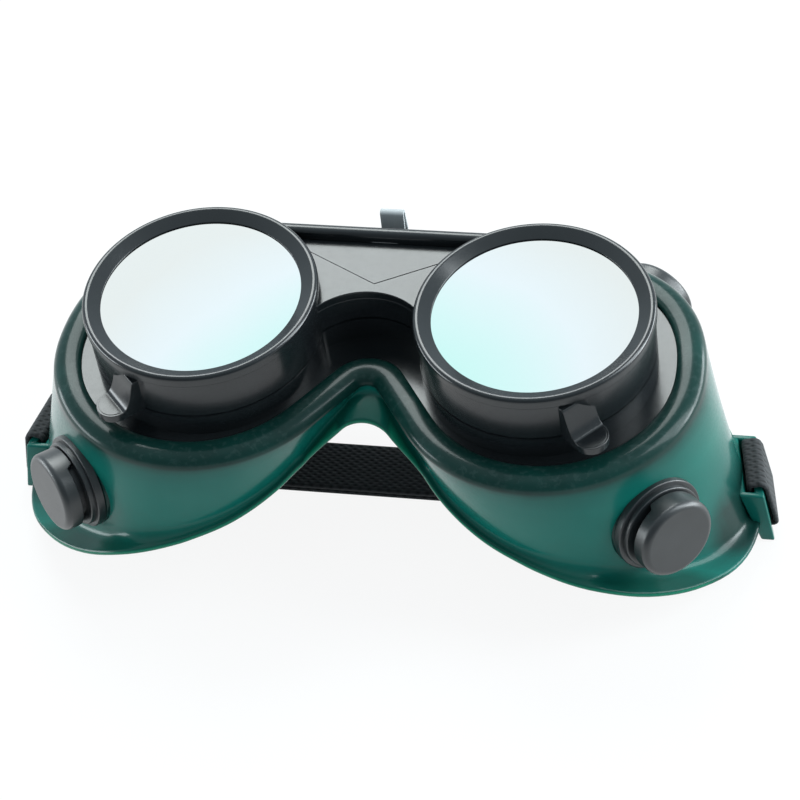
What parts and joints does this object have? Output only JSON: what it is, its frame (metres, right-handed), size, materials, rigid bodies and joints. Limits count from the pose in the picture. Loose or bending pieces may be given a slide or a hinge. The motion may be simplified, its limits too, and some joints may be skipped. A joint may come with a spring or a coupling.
{
  "type": "welding goggles",
  "caption": "Soft cup welding goggles with a flip-up front carrying round filter lenses over clear lenses, screened side vents and an elastic strap.",
  "frame": {"origin": "middle of the goggles' outline on the surface they lie on", "axes": "+X to the wearer's left, +Y to the forehead, +Z out of the lenses"},
  "size_m": [0.1878, 0.0887, 0.0662],
  "materials": {
    "soft_green": "satin translucent dark green vinyl",
    "black_plastic": "glossy black moulding",
    "filter_glass": "mirror-coated filter glass",
    "clear_glass": "clear polished glass",
    "spring_steel": "plain spring steel",
    "elastic": "black knitted elastic"
  },
  "bodies": {
    "base": {"goggle_body": "soft_green", "fixed_frame": "black_plastic", "clear_lens_left": "clear_glass", "clear_ring_left": "black_plastic", "clear_lens_right": "clear_glass", "clear_ring_right": "black_plastic", "hinge_pin": "spring_steel", "spring_clip": "spring_steel", "vent_base_lower_left": "black_plastic", "vent_cap_lower_left": "black_plastic", "vent_base_lower_right": "black_plastic", "vent_cap_lower_right": "black_plastic", "vent_base_upper_left": "black_plastic", "vent_cap_upper_left": "black_plastic", "vent_base_upper_right": "black_plastic", "vent_cap_upper_right": "black_plastic", "strap_band": "elastic"},
    "flip": {"flip_front": "black_plastic", "filter_lens_left": "filter_glass", "filter_lens_right": "filter_glass", "filter_ring_left": "black_plastic", "filter_ring_right": "black_plastic"},
    "slider": {"strap_slider": "black_plastic"}
  },
  "joints": [
    {"name": "flip_hinge", "type": "hinge", "parent": "base", "child": "flip", "pos_m": [0, 0.02649, 0.0542], "axis": [-1, 0, 0], "range_deg": [0, 100]},
    {"name": "strap_slide", "type": "slide", "parent": "base", "child": "slider", "axis": [1, 0, 0], "range_m": [-0.012, 0.095]}
  ]
}
